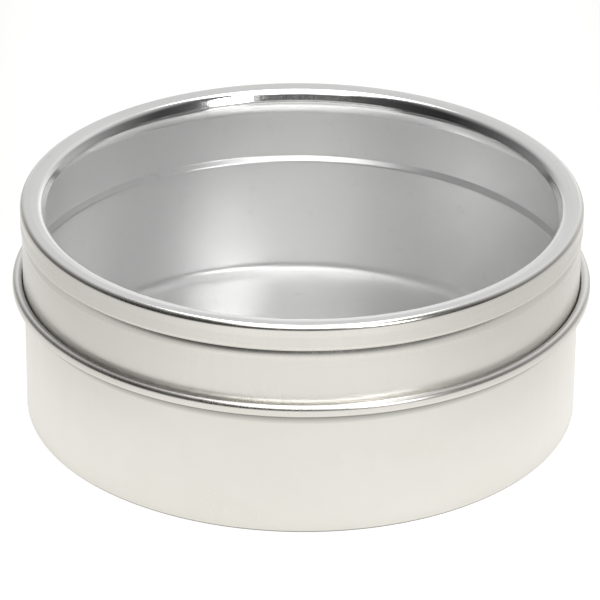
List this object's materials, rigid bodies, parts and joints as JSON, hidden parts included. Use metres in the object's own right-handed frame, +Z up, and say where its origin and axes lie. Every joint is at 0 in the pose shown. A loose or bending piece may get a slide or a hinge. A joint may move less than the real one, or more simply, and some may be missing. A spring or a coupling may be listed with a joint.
{
  "type": "candle tin",
  "caption": "Round shallow tinplate tin with a rolled rim and a lift-off plug lid that holds a clear window pane.",
  "frame": {"origin": "centre of the base's underside, on the surface that the tin stands on", "axes": "+Z up along the tin's axis, the way the lid lifts off; X and Y across the tin, which is round"},
  "size_m": [0.099, 0.099, 0.0384],
  "materials": {
    "tinplate_base": "satin drawn tinplate, fine rolling grain, bright on the rolled rim",
    "tinplate_lid": "satin drawn tinplate, fine rolling grain, bright on the flange",
    "clear_pane": "clear thin PET, glossy, faint handling marks"
  },
  "bodies": {
    "base": {"base_pan": "tinplate_base"},
    "lid": {"lid_ring": "tinplate_lid", "window_pane": "clear_pane"}
  },
  "joints": [
    {"name": "lid_lift", "type": "slide", "parent": "base", "child": "lid", "axis": [0, 0, 1], "range_m": [0, 0.04]}
  ]
}
